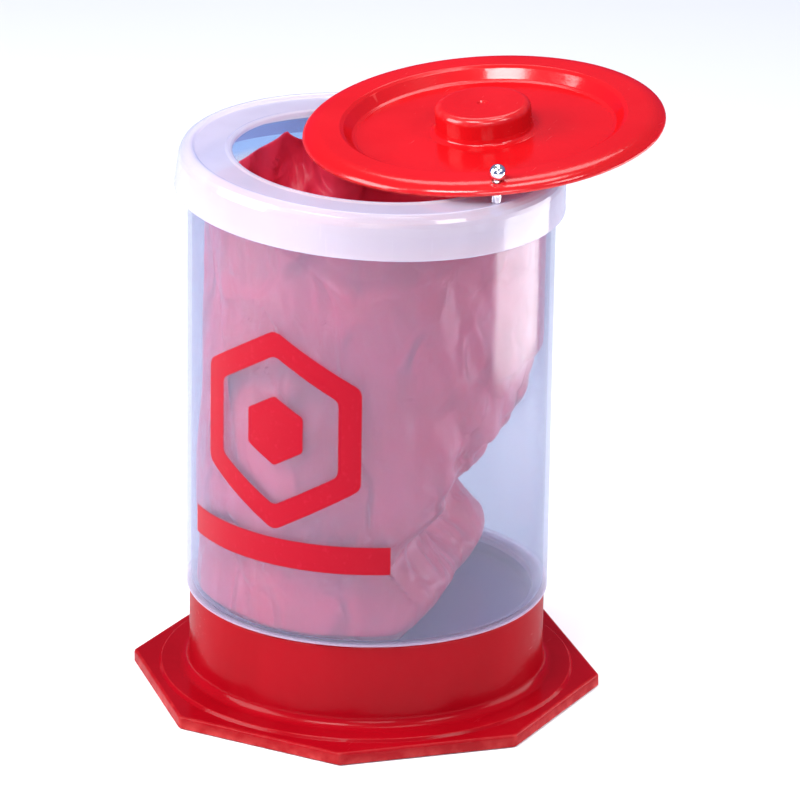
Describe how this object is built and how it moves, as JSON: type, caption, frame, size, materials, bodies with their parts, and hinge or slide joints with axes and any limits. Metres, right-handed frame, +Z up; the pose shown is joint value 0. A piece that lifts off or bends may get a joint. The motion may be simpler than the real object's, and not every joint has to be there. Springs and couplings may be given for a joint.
{
  "type": "biohazard waste bin",
  "caption": "Benchtop waste bin: translucent round jar on a red octagonal foot, liner bag, push-on collar and a red knobbed lid that swings aside on a ball-headed stud.",
  "frame": {"origin": "centre of the foot's flat underside, on the jar's axis", "axes": "+Z up along the jar's axis, X and Y square to the octagon's flats, the jar's printed side faces -Y"},
  "size_m": [0.1974, 0.2067, 0.2493],
  "materials": {
    "foot_plastic": "glossy red polypropylene",
    "jar_plastic": "translucent polypropylene, smooth",
    "liner_film": "thin creased translucent film",
    "collar_plastic": "milky polypropylene, smooth",
    "lid_plastic": "high-gloss red polypropylene",
    "bright_steel": "polished"
  },
  "bodies": {
    "base": {"base_foot": "foot_plastic"},
    "jar": {"jar": "jar_plastic"},
    "liner": {"liner_bag": "liner_film"},
    "collar": {"collar": "collar_plastic", "pivot_stud": "bright_steel", "pivot_spacer": "bright_steel", "stud_washer": "bright_steel", "stud_push_nut": "bright_steel"},
    "lid_washer": {"lid_washer": "bright_steel"},
    "lid": {"lid": "lid_plastic"}
  },
  "joints": [
    {"name": "jar_lift", "type": "slide", "parent": "base", "child": "jar", "axis": [0, 0, 1], "range_m": [0, 0.03]},
    {"name": "liner_lift", "type": "slide", "parent": "jar", "child": "liner", "axis": [0, 0, 1], "range_m": [0, 0.06]},
    {"name": "collar_lift", "type": "slide", "parent": "jar", "child": "collar", "axis": [0, 0, 1], "range_m": [0, 0.12]},
    {"name": "lid_open", "type": "hinge", "parent": "collar", "child": "lid_washer", "pos_m": [0.06764, -0.01926, 0.23553], "axis": [0.0289, -0.064, 0.9975], "range_deg": [-138.32, 0]},
    {"name": "lid_close", "type": "hinge", "parent": "lid_washer", "child": "lid", "pos_m": [0.06764, -0.01926, 0.23553], "axis": [-0.1339, 0.0603, 0.9892], "range_deg": [0, 42.5]}
  ],
  "couplings": [
    {"joint": "liner_lift", "follows": "collar_lift", "ratio": 0.5}
  ]
}
